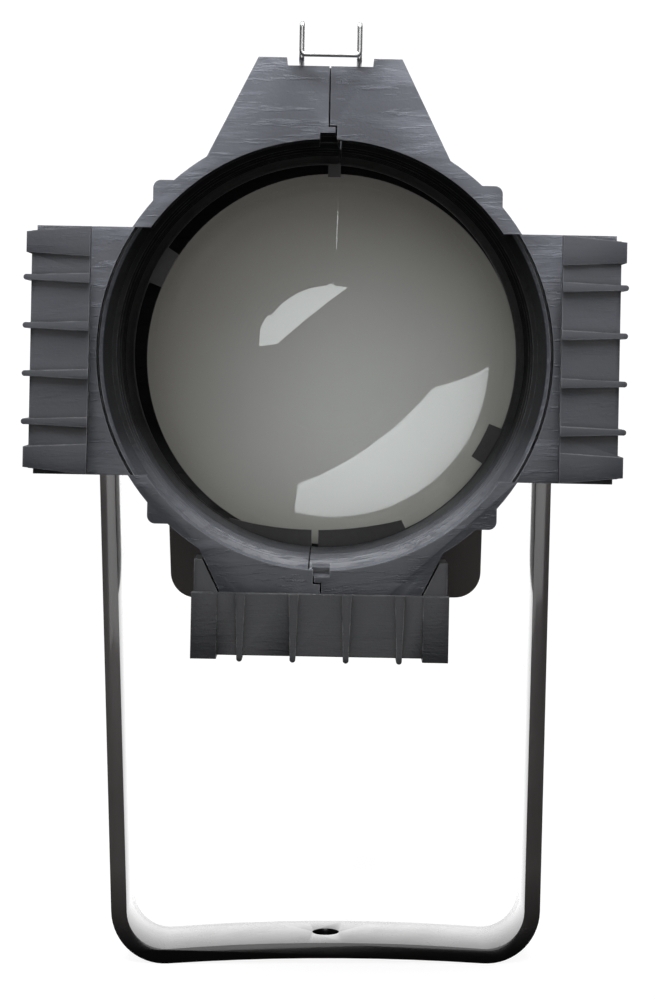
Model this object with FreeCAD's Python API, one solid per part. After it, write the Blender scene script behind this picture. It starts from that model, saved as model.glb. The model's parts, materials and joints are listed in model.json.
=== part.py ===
import FreeCAD, Part
import math
import os

# Profile spotlight on a flat-bar yoke.
# +Z is up, the lens faces -Y and +X is to the right of someone facing the lens.
# The origin is the centre of the hanging hole on the underside of the yoke base. Millimetres.

# ---------------------------------------------------------------- driving dimensions

AXIS_Z = 247.0              # optical axis and tilt pivot above the hanging hole
ROLL_DEG = 1.1              # the barrel stands this far round in the housing, clockwise

# Yoke, bent from flat bar
BAR_WIDTH = 38.1
BAR_THICK = 6.35
YOKE_HALF_TOP = 92.65       # outer face, parallel part round the pivot
YOKE_HALF_BASE = 87.4       # outer face, level with the base
YOKE_BEND_Z = AXIS_Z - 48.0
YOKE_TOP_Z = AXIS_Z + 24.0
YOKE_CORNER_R = 22.0
BASE_ARCH = 3.9             # rise of the base's bow, counted from the unrounded corners
HANG_HOLE_R = 5.5

# Tilt pivot
PIVOT_R = 6.0
PIVOT_CLEAR = 0.08
BOSS_R = 16.0
BOSS_END = 83.9
BOSS_HEAD_X = 79.4
BOSS_ROOT_R = 12.4
WASHER_R = 15.0

# Lens tube
FRONT_Y = -253.0            # front face of the tube flange
TUBE_BACK_Y = -112.0
TUBE_BORE_R = 66.9
TUBE_OUT_R = 70.0
FLANGE_R = 71.6
FLANGE_THICK = 8.0
WING_BORE_R = 70.9
FUNNEL_R = 70.1
WING_HALF_Z = 38.5
SEAM_GAP = 0.5
SEAM_STEP = 2.2
SEAM_STEP_R = 70.9
SEAM_TONGUE = 1.6           # the halves overlap this far behind their front faces
SEAM_TONGUE_Y = FRONT_Y + 4.0
LUG_HALF_X = 54.2
LUG_HALF_Z = 53.3
TOWER_TOP_Z = 92.0
TOWER_FOOT_Z = 62.0
TOWER_TOP_HALF = 22.3
TOWER_FOOT_HALF = 37.2
TOWER_DEPTH = 27.0
NOTCH_HALF = 13.5
NOTCH_DEEP = 2.5

# Colour frame channels
FRAME_HALF = 80.3           # half the inside width for a 159 mm square frame
SLOT_GAP = 9.5
LIP_THICK = 3.0
LIP_INNER = 72.0
CHANNEL_OUTER = 91.4
CHANNEL_HALF_Z = 37.8
RIB_PITCH = 14.65
LIP_FRONT_Y = FRONT_Y - SLOT_GAP - LIP_THICK
BOTTOM_HALF_X = 39.3
BOTTOM_TOP_Z = -73.1
BOTTOM_LOW_Z = -93.2
CHANNEL_SCREW_Z = -83.2

# Lens
LENS_R = 65.4
LENS_POCKET_R = 68.5
LENS_X = 2.5                # the lens has play in its pocket and lies low and to one side
LENS_Z = -1.35
LENS_RIM_Y = FRONT_Y + 100.0
LENS_RIM_THICK = 4.0
LENS_FRONT_CURVE = 115.0
LENS_BACK_CURVE = 1000.0
SEAT_R = 60.3
RETAINER_R = 66.8
RETAINER_BACK_Y = LENS_RIM_Y - 4.8

# Barrel
BARREL_FRONT_Y = -160.0
BARREL_BACK_Y = -38.0
BARREL_IN_R = 72.3
BARREL_OUT_R = 75.4
SPIGOT_R = 70.0
SPIGOT_LIP_R = 73.0
GATE_R = 34.0
GATE_Y = -82.0
BLADE_THICK = 0.8
BLADE_PITCH = 2.2
BLADE_HALF_W = 37.0
SLOT_Y = -71.5              # centre of the pattern slot
FOCUS_KNOB_Y = -135.0
FOCUS_TRAVEL = 18.0         # either way from the rest position
STUD_R = 3.0

# Reflector housing and what it holds
RING_FRONT_Y = -37.5
HOUSING_FRONT_Y = -17.0
HOUSING_BACK_Y = 196.0
HOUSING_IN_R = 71.8
HOUSING_OUT_R = 75.4
HOUSING_SCREW_R = 68.5
CAP_SCREW_Z = 45.0
FIN_R = 78.5
CAP_BACK_Y = 262.0
REFLECTOR_MID_Y = 16.0
REFLECTOR_A = 118.0
REFLECTOR_B = 68.6
REFLECTOR_THICK = 2.2
LAMP_HOLE_R = 15.5
CARRIER_R = 7.0
SKIRT_FRONT_Y = 30.0
SKIRT_BACK_Y = 186.0
SKIRT_HALF_TOP = 69.5
SKIRT_HALF_LOW = 66.4
SKIRT_LOW_Z = -104.0
SKIRT_CORNER_R = 11.0
SKIRT_WALL = 2.5


# ---------------------------------------------------------------- helpers

def vec(x, y, z):
    """Point given in the light's own axes, with z counted from the optical axis."""
    return FreeCAD.Vector(x, y, z + AXIS_Z)


def block(x0, x1, y0, y1, z0, z1):
    """Box between two corners."""
    return Part.makeBox(x1 - x0, y1 - y0, z1 - z0, vec(x0, y0, z0))


def cyl_x(radius, x0, x1, y, z):
    """Cylinder along X."""
    return Part.makeCylinder(radius, x1 - x0, vec(x0, y, z), FreeCAD.Vector(1, 0, 0))


def cyl_y(radius, y0, y1, x=0.0, z=0.0):
    """Cylinder along Y."""
    return Part.makeCylinder(radius, y1 - y0, vec(x, y0, z), FreeCAD.Vector(0, 1, 0))


def cyl_z(radius, z0, z1, x, y):
    """Cylinder along Z."""
    return Part.makeCylinder(radius, z1 - z0, vec(x, y, z0), FreeCAD.Vector(0, 0, 1))


def ring_y(outer, inner, y0, y1):
    """Ring round the optical axis."""
    return cyl_y(outer, y0, y1).cut(cyl_y(inner, y0 - 1, y1 + 1))


def prism_y(points, y0, y1):
    """Outline in X and Z, pushed along Y."""
    corners = [vec(x, y0, z) for x, z in points]
    face = Part.Face(Part.makePolygon(corners + corners[:1]))
    return face.extrude(FreeCAD.Vector(0, y1 - y0, 0))


def prism_x(points, x0, x1):
    """Outline in Y and Z, pushed along X."""
    corners = [vec(x0, y, z) for y, z in points]
    face = Part.Face(Part.makePolygon(corners + corners[:1]))
    return face.extrude(FreeCAD.Vector(x1 - x0, 0, 0))


def turned_y(profile):
    """Outline of (radius, y) pairs turned round the optical axis."""
    corners = [vec(r, y, 0) for r, y in profile]
    face = Part.Face(Part.makePolygon(corners + corners[:1]))
    return face.revolve(vec(0, 0, 0), FreeCAD.Vector(0, 1, 0), 360)


def join(shapes):
    """One solid from overlapping ones."""
    first = shapes[0]
    return first.fuse(shapes[1:]).removeSplitter() if len(shapes) > 1 else first


def spin(shape, degrees):
    """Turned copy, round the optical axis."""
    copy = shape.copy()
    copy.rotate(vec(0, 0, 0), FreeCAD.Vector(0, 1, 0), degrees)
    return copy


def rolled(shape):
    """Copy turned with the barrel to where its rotation lock holds it."""
    return spin(shape, ROLL_DEG)


def rounded(shape, radius, wanted):
    """Fillets the edges for which wanted(edge) is true."""
    edges = [edge for edge in shape.Edges if wanted(edge)]
    return shape.makeFillet(radius, edges)


def along(edge, axis):
    """True for a straight edge parallel to the given axis (0, 1 or 2)."""
    if len(edge.Vertexes) != 2:
        return False
    step = edge.Vertexes[1].Point - edge.Vertexes[0].Point
    sizes = [abs(step.x), abs(step.y), abs(step.z)]
    rest = [size for index, size in enumerate(sizes) if index != axis]
    return sizes[axis] > 0.5 and max(rest) < 1e-4


def bent_wire(points, radius, bend):
    """Round wire through the given points, bent to one radius at every corner."""
    edges = []
    start = points[0]
    for before, corner, after in zip(points, points[1:], points[2:]):
        back = (before - corner).normalize()
        ahead = (after - corner).normalize()
        half_angle = back.getAngle(ahead) / 2
        first = corner + back * (bend / math.tan(half_angle))
        last = corner + ahead * (bend / math.tan(half_angle))
        inwards = (back + ahead).normalize()
        middle = corner + inwards * (bend / math.sin(half_angle) - bend)
        edges.append(Part.makeLine(start, first))
        edges.append(Part.Arc(first, middle, last).toShape())
        start = last
    edges.append(Part.makeLine(start, points[-1]))
    path = Part.Wire(edges)
    section = Part.Wire(Part.makeCircle(radius, points[0], points[1] - points[0]))
    return path.makePipeShell([section], True, False)


def save(name, shape):
    """Writes one piece of the light, or one group of equal pieces."""
    shape.exportStep("parts/" + name + ".step")


def save_group(name, shapes):
    """Writes several separate equal solids as one piece group."""
    save(name, Part.makeCompound(shapes))


# ---------------------------------------------------------------- yoke and tilt pivot

def yoke_outline(inset):
    """Yoke outline, moved inwards by the bar thickness when inset is set."""
    t = BAR_THICK if inset else 0.0
    top = YOKE_TOP_Z - AXIS_Z + (5.0 if inset else 0.0)
    bend = YOKE_BEND_Z - AXIS_Z
    low = -AXIS_Z - BASE_ARCH + t
    left = [vec(-YOKE_HALF_TOP + t, 0, top), vec(-YOKE_HALF_TOP + t, 0, bend)]
    left_corner = vec(-YOKE_HALF_BASE + t, 0, low)
    right_corner = vec(YOKE_HALF_BASE - t, 0, low)
    right = [vec(YOKE_HALF_TOP - t, 0, bend), vec(YOKE_HALF_TOP - t, 0, top)]
    middle = vec(0, 0, low + BASE_ARCH)
    legs = Part.makePolygon([left_corner, left[1], left[0], right[1], right[0], right_corner])
    base = Part.Arc(left_corner, middle, right_corner).toShape()
    face = Part.Face(Part.Wire(legs.Edges + [base]))
    face.translate(FreeCAD.Vector(0, -BAR_WIDTH / 2, 0))
    solid = face.extrude(FreeCAD.Vector(0, BAR_WIDTH, 0))
    low_z = AXIS_Z + low + 1.0
    return rounded(solid, YOKE_CORNER_R - t,
                   lambda edge: along(edge, 1) and edge.CenterOfMass.z < low_z)


def make_yoke():
    """Flat bar bent to a U, with rounded ears, pivot holes and the hanging hole."""
    bar = yoke_outline(False).cut(yoke_outline(True))
    bar = bar.cut(cyl_x(PIVOT_R + PIVOT_CLEAR, -100, 100, 0, 0))
    bar = bar.cut(cyl_z(HANG_HOLE_R, -AXIS_Z - 10, -AXIS_Z + 20, 0, 0))
    top_z = YOKE_TOP_Z - 0.1
    bar = rounded(bar, 12.0, lambda edge: along(edge, 0) and edge.CenterOfMass.z > top_z)
    return bar


def make_friction_washers():
    """One washer inside each yoke ear."""
    washers = []
    for side in (-1, 1):
        inner = YOKE_HALF_TOP - BAR_THICK
        x0 = min(side * inner, side * (inner - 2.0))
        disc = cyl_x(WASHER_R, x0, x0 + 2.0, 0, 0)
        washers.append(disc.cut(cyl_x(PIVOT_R + 0.5, x0 - 1, x0 + 3, 0, 0)))
    return washers


def make_pivot_bolt():
    """Shouldered pivot bolt on the left, screwed into the housing boss."""
    outside = -YOKE_HALF_TOP - 0.3
    shank = cyl_x(PIVOT_R, outside - 1, -62.0, 0, 0)
    washer = cyl_x(12.0, outside - 2.0, outside, 0, 0)
    points = []
    for corner in range(6):
        angle = math.radians(60 * corner + 30)
        points.append((10.4 * math.cos(angle), 10.4 * math.sin(angle)))
    head = prism_x(points, outside - 9.0, outside - 2.0)
    return join([shank, washer, head])


def make_tilt_knob():
    """Lobed tilt lock knob on the right, with its steel stud."""
    outside = YOKE_HALF_TOP + 0.3
    hub = cyl_x(9.0, outside, outside + 7.0, 0, 0)
    grip = cyl_x(15.0, outside + 7.0, outside + 21.0, 0, 0)
    for lobe in range(6):
        angle = math.radians(60 * lobe)
        cut = cyl_x(5.0, outside + 6.0, outside + 22.0, 17.5 * math.cos(angle),
                    17.5 * math.sin(angle))
        grip = grip.cut(cut)
    knob = join([hub, grip])
    stud_hole = cyl_x(PIVOT_R, outside - 1.0, outside + 12.0, 0, 0)
    stud = cyl_x(PIVOT_R, 63.0, outside + 12.0, 0, 0)
    return knob.cut(stud_hole), stud


# ---------------------------------------------------------------- lens tube

def tower_outline(inset, low):
    """Tapered block that carries the frame clip, from z = low to its top."""
    slope = (TOWER_FOOT_HALF - TOWER_TOP_HALF) / (TOWER_TOP_Z - TOWER_FOOT_Z)
    top = TOWER_TOP_Z - NOTCH_DEEP - inset if inset else TOWER_TOP_Z
    half_top = TOWER_TOP_HALF + slope * (TOWER_TOP_Z - top) - inset
    half_low = TOWER_TOP_HALF + slope * (TOWER_TOP_Z - low) - inset
    return [(-half_low, low), (-half_top, top), (half_top, top), (half_low, low)]


def make_tower():
    """Tower with its top notch, hollow behind its front plate."""
    tower = prism_y(tower_outline(0.0, 55.0), FRONT_Y, FRONT_Y + TOWER_DEPTH)
    notch = block(-NOTCH_HALF, NOTCH_HALF, FRONT_Y - 1, FRONT_Y + TOWER_DEPTH + 1,
                  TOWER_TOP_Z - NOTCH_DEEP, TOWER_TOP_Z + 1)
    pocket = prism_y(tower_outline(3.0, 73.0), FRONT_Y + FLANGE_THICK,
                     FRONT_Y + TOWER_DEPTH + 1)
    web = block(-3.4, 3.4, FRONT_Y + FLANGE_THICK - 1, FRONT_Y + TOWER_DEPTH, 70.0, 88.0)
    hole_y = FRONT_Y + TOWER_DEPTH + 4.0
    lugs = []
    for side in (-1, 1):
        x0 = min(side * 11.0, side * 16.0)
        lug = block(x0, x0 + 5.0, hole_y - 5.0, hole_y + 4.0, 79.0, 89.0)
        lugs.append(lug.cut(cyl_x(0.95, x0 - 1, x0 + 6, hole_y, 84.0)))
    return join([tower.cut(notch).cut(pocket), web] + lugs)


def make_channel():
    """Right side channel: lip, outer wall, end caps and cross ribs."""
    lip_back = LIP_FRONT_Y + LIP_THICK
    outline = [(LIP_INNER, -CHANNEL_HALF_Z), (CHANNEL_OUTER - 1.6, -CHANNEL_HALF_Z + 1.6),
               (CHANNEL_OUTER - 1.6, CHANNEL_HALF_Z - 1.6), (LIP_INNER, CHANNEL_HALF_Z)]
    lip = prism_y(outline, LIP_FRONT_Y, lip_back)
    wall_outline = [(FRAME_HALF, -CHANNEL_HALF_Z + 0.7), (CHANNEL_OUTER - 1.6, -CHANNEL_HALF_Z + 1.6),
                    (CHANNEL_OUTER - 1.6, CHANNEL_HALF_Z - 1.6), (FRAME_HALF, CHANNEL_HALF_Z - 0.7)]
    wall = prism_y(wall_outline, LIP_FRONT_Y + 1, FRONT_Y + FLANGE_THICK + 6.0)
    lightening = block(FRAME_HALF + 2.6, CHANNEL_OUTER - 4.4, FRONT_Y + 3.0,
                       FRONT_Y + FLANGE_THICK + 7.0, -CHANNEL_HALF_Z + 4.5, CHANNEL_HALF_Z - 4.5)
    pieces = [lip, wall.cut(lightening)]
    for end in (-1, 1):
        far = CHANNEL_HALF_Z - 1.9
        near = CHANNEL_HALF_Z - 9.2
        cap = [(CHANNEL_OUTER - 3.0, end * near), (CHANNEL_OUTER, end * (near + 1.0)),
               (CHANNEL_OUTER, end * far), (CHANNEL_OUTER - 3.0, end * (far + 0.4))]
        pieces.append(prism_y(cap, LIP_FRONT_Y, FRONT_Y + FLANGE_THICK + 6.0))
        face = [(LIP_INNER, end * near), (CHANNEL_OUTER, end * (near + 1.0)),
                (CHANNEL_OUTER, end * far), (LIP_INNER, end * CHANNEL_HALF_Z)]
        pieces.append(prism_y(face, LIP_FRONT_Y - 0.7, LIP_FRONT_Y + 1.0))
    for rib in range(4):
        z = RIB_PITCH * (rib - 1.5)
        bar = [(LIP_INNER, z - 1.5), (CHANNEL_OUTER - 1.6, z - 0.8),
               (CHANNEL_OUTER - 1.6, z + 0.8), (LIP_INNER, z + 1.5)]
        pieces.append(prism_y(bar, LIP_FRONT_Y - 1.2, LIP_FRONT_Y + 1.0))
        nub = block(CHANNEL_OUTER - 3.0, CHANNEL_OUTER - 0.2, LIP_FRONT_Y - 1.2,
                    FRONT_Y + FLANGE_THICK + 6.0, z - 0.9, z + 0.9)
        tip = Part.makeCylinder(0.9, FRONT_Y + FLANGE_THICK + 6.0 - LIP_FRONT_Y + 1.2,
                                vec(CHANNEL_OUTER - 0.2, LIP_FRONT_Y - 1.2, z),
                                FreeCAD.Vector(0, 1, 0))
        pieces += [nub, tip]
    return join(pieces)


def tube_profile():
    """Section of the tube wall, with its inner ridges, as (radius, y) pairs."""
    strong = [9.0, 17.0, 25.0]
    fine = [33.0, 38.0, 43.0, 48.0]
    points = [(TUBE_OUT_R, FRONT_Y), (TUBE_BORE_R, FRONT_Y)]
    for depth in strong + fine:
        height = 1.5 if depth in strong else 1.0
        points += [(TUBE_BORE_R, FRONT_Y + depth), (TUBE_BORE_R - height, FRONT_Y + depth + 0.8),
                   (TUBE_BORE_R - height, FRONT_Y + depth + 1.6),
                   (TUBE_BORE_R, FRONT_Y + depth + 2.4)]
    seat = LENS_RIM_Y + LENS_RIM_THICK + 0.9
    points += [(TUBE_BORE_R, LENS_RIM_Y - 9.0), (LENS_POCKET_R, LENS_RIM_Y - 8.0),
               (LENS_POCKET_R, seat), (SEAT_R, seat), (SEAT_R, seat + 2.0),
               (TUBE_BORE_R, seat + 8.0), (TUBE_BORE_R, TUBE_BACK_Y), (TUBE_OUT_R, TUBE_BACK_Y)]
    return points


def seam_outline(top_shift, low_shift):
    """Everything on the right of the stepped seam, with the seam moved above and below."""
    gap = SEAM_GAP / 2
    top = gap + top_shift
    low = gap - low_shift
    high_z = SEAM_STEP_R + gap
    low_z = gap - SEAM_STEP_R
    return [(top, 120), (top, high_z), (top + SEAM_STEP, high_z), (top + SEAM_STEP, 50),
            (gap, 50), (gap, -50), (low - SEAM_STEP, -50), (low - SEAM_STEP, low_z),
            (low, low_z), (low, -120), (150, -120), (150, 120)]


def seam_side():
    """Space taken by the right half: the seam is also stepped in depth, so no light passes."""
    gap_y = SEAM_TONGUE_Y + SEAM_GAP / 2
    front = prism_y(seam_outline(0.0, 0.0), FRONT_Y - 40, SEAM_TONGUE_Y)
    middle = prism_y(seam_outline(SEAM_TONGUE, 0.0), SEAM_TONGUE_Y, gap_y)
    back = prism_y(seam_outline(SEAM_TONGUE, SEAM_TONGUE), gap_y, TUBE_BACK_Y + 20)
    return join([front, middle, back])


def make_tube_half():
    """Right half casting: half the tube, one side channel, half of each tower."""
    bore = cyl_y(TUBE_BORE_R, FRONT_Y - 1, FRONT_Y + 60)
    flange = ring_y(FLANGE_R, TUBE_BORE_R, FRONT_Y, FRONT_Y + FLANGE_THICK)
    lugs = block(-LUG_HALF_X, LUG_HALF_X, FRONT_Y, FRONT_Y + 13, -LUG_HALF_Z, LUG_HALF_Z)
    lugs = rounded(lugs, 2.5, lambda edge: along(edge, 1))
    wing = block(60.0, CHANNEL_OUTER - 1.6, FRONT_Y, FRONT_Y + FLANGE_THICK,
                 -WING_HALF_Z, WING_HALF_Z)
    funnel = turned_y([(0, FRONT_Y - 1), (WING_BORE_R, FRONT_Y - 1), (WING_BORE_R, FRONT_Y + 3.5),
                       (FUNNEL_R, FRONT_Y + 3.5), (FUNNEL_R, FRONT_Y + 1.0),
                       (TUBE_BORE_R, FRONT_Y + 8.0), (0, FRONT_Y + 8.0)])
    wing_pocket = funnel.common(
        block(0, 80, FRONT_Y - 1, FRONT_Y + 9.0, -WING_HALF_Z, WING_HALF_Z))
    tower = make_tower()
    towers = [tower.cut(bore), spin(tower, 180).cut(bore)]
    body = join([turned_y(tube_profile()), flange, lugs.cut(bore), wing.cut(bore)] + towers)
    half = body.cut(wing_pocket).common(seam_side())
    recess = block(-2.8, SEAM_STEP + 0.6, FRONT_Y - 1, FRONT_Y + 12.0, 60, TUBE_BORE_R + 2.0)
    half = half.cut(spin(recess, 180)).fuse(make_channel())
    for z in (-80.0, 80.0):
        half = half.cut(cyl_x(2.15, -10, 10, FRONT_Y + 17.0, z))
    half = half.cut(cyl_x(4.2, 10, 60, FRONT_Y + 17.0, 80.0))
    half = half.cut(cyl_x(STUD_R + 0.08, TUBE_BORE_R - 1, TUBE_OUT_R + 2, FOCUS_KNOB_Y, 0))
    return half.removeSplitter()


def drilled(half):
    """Half casting drilled below for the screws of the bottom channel."""
    for x in (-14.0, 14.0):
        half = half.cut(cyl_y(1.9, FRONT_Y - 1, FRONT_Y + 12.0, x, CHANNEL_SCREW_Z))
    return half


def make_tube_screws():
    """Pan-head screws that draw the two halves together."""
    screws = []
    for z in (-80.0, 80.0):
        side = 1 if z > 0 else -1
        shank = cyl_x(2.0, -7.0, 7.0, FRONT_Y + 17.0, z)
        x0 = 3.5 if side > 0 else -6.3
        head = cyl_x(3.8, x0, x0 + 2.8, FRONT_Y + 17.0, z)
        screws.append(join([shank, head]))
    return screws


def make_lens():
    """Front lens: strongly curved in front, slightly behind, with a short straight rim."""
    rim_back = LENS_RIM_Y + LENS_RIM_THICK
    front_centre = LENS_RIM_Y + math.sqrt(LENS_FRONT_CURVE ** 2 - LENS_R ** 2)
    back_centre = rim_back - math.sqrt(LENS_BACK_CURVE ** 2 - LENS_R ** 2)
    front_ball = Part.makeSphere(LENS_FRONT_CURVE, vec(LENS_X, front_centre, LENS_Z))
    back_ball = Part.makeSphere(LENS_BACK_CURVE, vec(LENS_X, back_centre, LENS_Z))
    blank = cyl_y(LENS_R, LENS_RIM_Y - 60, rim_back + 20, LENS_X, LENS_Z)
    return blank.common(front_ball).common(back_ball)


def make_lens_retainer():
    """Open spring ring in front of the lens rim, with tabs that reach over the glass."""
    y0 = RETAINER_BACK_Y - 1.0
    ring = ring_y(LENS_POCKET_R - 0.2, RETAINER_R, y0, RETAINER_BACK_Y)
    disc = cyl_y(RETAINER_R + 0.5, y0, RETAINER_BACK_Y)
    low_wedge = prism_y([(0, 0), (-38.4, -68.0), (33.1, -68.0)], y0 - 1, y0 + 3)
    low_tab = disc.common(low_wedge).cut(cyl_y(119.6, y0 - 1, y0 + 3, -3.1, 58.4))
    side_wedge = prism_y([(0, 0), (70.0, -27.6), (70.0, -46.3)], y0 - 1, y0 + 3)
    side_tab = disc.common(side_wedge).cut(cyl_y(62.2, y0 - 1, y0 + 3))
    top_tab = disc.common(block(-0.2, 4.2, y0, RETAINER_BACK_Y, 62.5, 67.5))
    pieces = [ring, low_tab, side_tab, spin(side_tab, 180), top_tab]
    return join(pieces).cut(block(-3.6, -1.2, y0 - 1, y0 + 3, -70, -50))


def make_bottom_channel():
    """Separate ribbed channel under the flange, with two ears beside the lower tower."""
    lip_back = LIP_FRONT_Y + LIP_THICK
    back_y = FRONT_Y - 0.05
    foot = BOTTOM_LOW_Z + 1.2
    lip = block(-BOTTOM_HALF_X, BOTTOM_HALF_X, LIP_FRONT_Y, lip_back, foot, BOTTOM_TOP_Z)
    floor = block(-BOTTOM_HALF_X, BOTTOM_HALF_X, LIP_FRONT_Y, back_y, foot, -FRAME_HALF)
    pieces = [lip, floor]
    slope = (TOWER_FOOT_HALF - TOWER_TOP_HALF) / (TOWER_TOP_Z - TOWER_FOOT_Z)
    for side in (-1, 1):
        top_in = TOWER_FOOT_HALF - slope * 2.0 + 0.6
        low_in = TOWER_TOP_HALF + slope * (TOWER_TOP_Z + foot) + 0.6
        ear = [(side * BOTTOM_HALF_X, -64.0), (side * top_in, -64.0),
               (side * low_in, foot), (side * BOTTOM_HALF_X, foot)]
        pieces.append(prism_y(ear, back_y - 0.05, FRONT_Y + 16.0))
        x0 = min(side * BOTTOM_HALF_X, side * (BOTTOM_HALF_X - 7.9))
        pieces.append(block(x0, x0 + 7.9, LIP_FRONT_Y - 0.7, lip_back,
                            BOTTOM_LOW_Z, BOTTOM_TOP_Z))
        pieces.append(block(x0, x0 + 7.9, LIP_FRONT_Y, back_y, BOTTOM_LOW_Z, -FRAME_HALF))
    for rib in range(4):
        x = 16.2 * (rib - 1.5)
        bar = [(x - 1.5, BOTTOM_TOP_Z), (x + 1.5, BOTTOM_TOP_Z), (x + 0.85, foot),
               (x - 0.85, foot)]
        pieces.append(prism_y(bar, LIP_FRONT_Y - 1.2, LIP_FRONT_Y + 1.0))
        nub = cyl_y(0.9, LIP_FRONT_Y - 1.2, back_y, x, foot - 0.9)
        root = block(x - 0.9, x + 0.9, LIP_FRONT_Y - 1.2, back_y, foot - 0.9, foot + 0.5)
        pieces += [nub, root]
    channel = join(pieces)
    for x in (-14.0, 14.0):
        channel = channel.cut(cyl_y(1.85, FRONT_Y - 7.0, FRONT_Y + 1.0, x, CHANNEL_SCREW_Z))
    return channel


def make_channel_screws():
    """Screws from behind, through the lower tower into the channel."""
    screws = []
    for x in (-14.0, 14.0):
        shank = cyl_y(1.8, FRONT_Y - 6.5, FRONT_Y + FLANGE_THICK + 1.0, x, CHANNEL_SCREW_Z)
        back_y = FRONT_Y + FLANGE_THICK + 0.05
        head = cyl_y(3.0, back_y, back_y + 2.4, x, CHANNEL_SCREW_Z)
        screws.append(join([shank, head]))
    return screws


def make_frame_clip():
    """Wire clip that closes the top slot: two arms, two hairpin prongs and a crossbar."""
    pivot_y = FRONT_Y + TOWER_DEPTH + 4.0
    bar_y = FRONT_Y - 5.0
    path = []
    for side in (-1, 1):
        half = [vec(side * 15.0, pivot_y, 84.0), vec(side * 8.9, pivot_y, 84.0),
                vec(side * 8.9, pivot_y, 91.0), vec(side * 8.9, bar_y + 2.4, 91.0),
                vec(side * 8.9, bar_y + 2.4, 102.0), vec(side * 8.9, bar_y, 102.0),
                vec(side * 8.9, bar_y, 92.5)]
        path += half if side < 0 else half[::-1]
    return bent_wire(path, 0.85, 1.15)


# ---------------------------------------------------------------- barrel and gate

def blade_plane(index):
    """Front face of one shutter blade; the four lie one behind the other."""
    return GATE_Y + BLADE_PITCH * (index - 1.5) - BLADE_THICK / 2


def make_barrel():
    """Barrel with its rear bearing spigot, shutter slots, pattern slot and focus slot."""
    shell = ring_y(BARREL_OUT_R, BARREL_IN_R, BARREL_FRONT_Y, BARREL_BACK_Y)
    front_rib = ring_y(BARREL_OUT_R + 1.8, BARREL_IN_R, BARREL_FRONT_Y, BARREL_FRONT_Y + 5)
    knob_way = block(60, 90, BARREL_FRONT_Y - 1, BARREL_FRONT_Y + 6, -7.0, 7.0)
    front_rib = front_rib.cut(knob_way)
    mid_rib = ring_y(BARREL_OUT_R + 1.8, BARREL_IN_R, GATE_Y - 10.0, GATE_Y - 7.0)
    shoulder = ring_y(BARREL_OUT_R, 62.0, BARREL_BACK_Y - 4, BARREL_BACK_Y)
    spigot = ring_y(SPIGOT_R, 62.0, BARREL_BACK_Y - 1, -26.0)
    lip = ring_y(SPIGOT_LIP_R, 62.0, -30.0, -26.0)
    barrel = join([shell, front_rib, mid_rib, shoulder, spigot, lip])
    for index in range(4):
        y0 = blade_plane(index) - 0.5
        slot = block(-BLADE_HALF_W - 1, BLADE_HALF_W + 1, y0, y0 + BLADE_THICK + 1.0, 50, 90)
        barrel = barrel.cut(spin(slot, 90 * index))
    pattern = block(-42.0, 42.0, SLOT_Y - 3.0, SLOT_Y + 3.0, 50, 90)
    half = FOCUS_TRAVEL + STUD_R + 1.0
    focus = block(60, 90, FOCUS_KNOB_Y - half, FOCUS_KNOB_Y + half, -STUD_R - 1, STUD_R + 1)
    return barrel.cut(pattern).cut(focus)


def make_gate_plate():
    """Front gate plate with the round aperture."""
    y0 = GATE_Y - 2.2 * BLADE_PITCH - 1.2
    return ring_y(BARREL_IN_R - 0.05, GATE_R, y0, y0 + 1.2)


def make_shutter_guide():
    """Rear guide plate behind the blades, in front of the pattern slot."""
    y0 = GATE_Y + 2.2 * BLADE_PITCH
    return ring_y(BARREL_IN_R - 0.05, GATE_R + 4.0, y0, y0 + 1.2)


def make_pattern_guide():
    """Plate behind the pattern slot."""
    y0 = SLOT_Y + 3.4
    return ring_y(BARREL_IN_R - 0.05, GATE_R + 4.0, y0, y0 + 1.2)


def make_shutter(index):
    """Stainless blade pushed in to the middle, with a narrow tab for its grip."""
    y0 = blade_plane(index)
    outline = [(-BLADE_HALF_W, -2.0), (BLADE_HALF_W, -2.0), (BLADE_HALF_W, 30.0), (10.0, 46.0),
               (10.0, 96.0), (-10.0, 96.0), (-10.0, 46.0), (-BLADE_HALF_W, 30.0)]
    return spin(prism_y(outline, y0, y0 + BLADE_THICK), 90 * index)


def make_shutter_grip(index):
    """Insulated grip on the tab of a blade, slotted to take it."""
    y0 = blade_plane(index) + BLADE_THICK / 2
    grip = block(-11.5, 11.5, y0 - 3.2, y0 + 3.2, 81.0, 106.0)
    grip = rounded(grip, 2.4, lambda edge: along(edge, 1))
    slot = block(-10.0, 10.0, y0 - BLADE_THICK / 2, y0 + BLADE_THICK / 2, 80.0, 96.0)
    return spin(grip.cut(slot), 90 * index)


def make_pattern_holder():
    """Sheet holder that drops into the pattern slot, with a round window and a pull tab."""
    y0 = SLOT_Y - 0.8
    sheet = block(-36.0, 36.0, y0, y0 + 1.6, -44.0, 70.0)
    corners = rounded(sheet, 10.0, lambda edge: along(edge, 1) and edge.CenterOfMass.z < AXIS_Z)
    tab = block(-12.0, 12.0, y0, y0 + 1.6, 69.0, 84.0)
    curl = block(-12.0, 12.0, y0, y0 + 5.0, 82.4, 84.0)
    return join([corners, tab, curl]).cut(cyl_y(GATE_R, y0 - 1, y0 + 3))


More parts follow.
